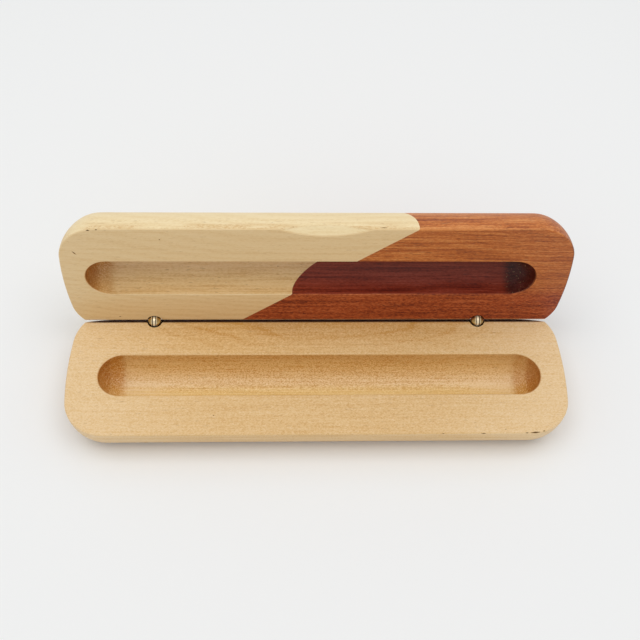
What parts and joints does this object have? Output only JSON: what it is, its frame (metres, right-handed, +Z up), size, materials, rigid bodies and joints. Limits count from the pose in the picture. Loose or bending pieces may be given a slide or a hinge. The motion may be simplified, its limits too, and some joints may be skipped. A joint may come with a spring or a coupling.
{
  "type": "fountain pen case",
  "caption": "Slim hinged wooden case for a single pen: rounded block halves with a round-bottomed trough, a two-wood lid with finger notch, and brass barrel hinges.",
  "frame": {"origin": "middle of the base's flat underside", "axes": "+X to the right along the case, +Y to the hinge side, +Z up; stored open, as it stands on a desk"},
  "size_m": [0.17, 0.062, 0.0572],
  "materials": {
    "base_wood": "fine-sanded pale hardwood, thin satin oil",
    "lid_maple": "fine-sanded maple, thin satin oil",
    "lid_rosewood": "fine-sanded rosewood, thin satin oil",
    "hinge_brass": "turned brass, lightly tarnished",
    "hinge_pin": "drawn brass wire"
  },
  "bodies": {
    "base": {"base": "base_wood", "left_hinge_base_barrel": "hinge_brass", "right_hinge_base_barrel": "hinge_brass", "left_hinge_pin": "hinge_pin", "right_hinge_pin": "hinge_pin"},
    "lid": {"lid_maple_half": "lid_maple", "lid_rosewood_half": "lid_rosewood", "left_hinge_lid_barrel": "hinge_brass", "right_hinge_lid_barrel": "hinge_brass"}
  },
  "joints": [
    {"name": "lid_hinge", "type": "hinge", "parent": "base", "child": "lid", "pos_m": [0, 0.0197, 0.01315], "axis": [1, 0, 0], "range_deg": [0, 97]}
  ]
}
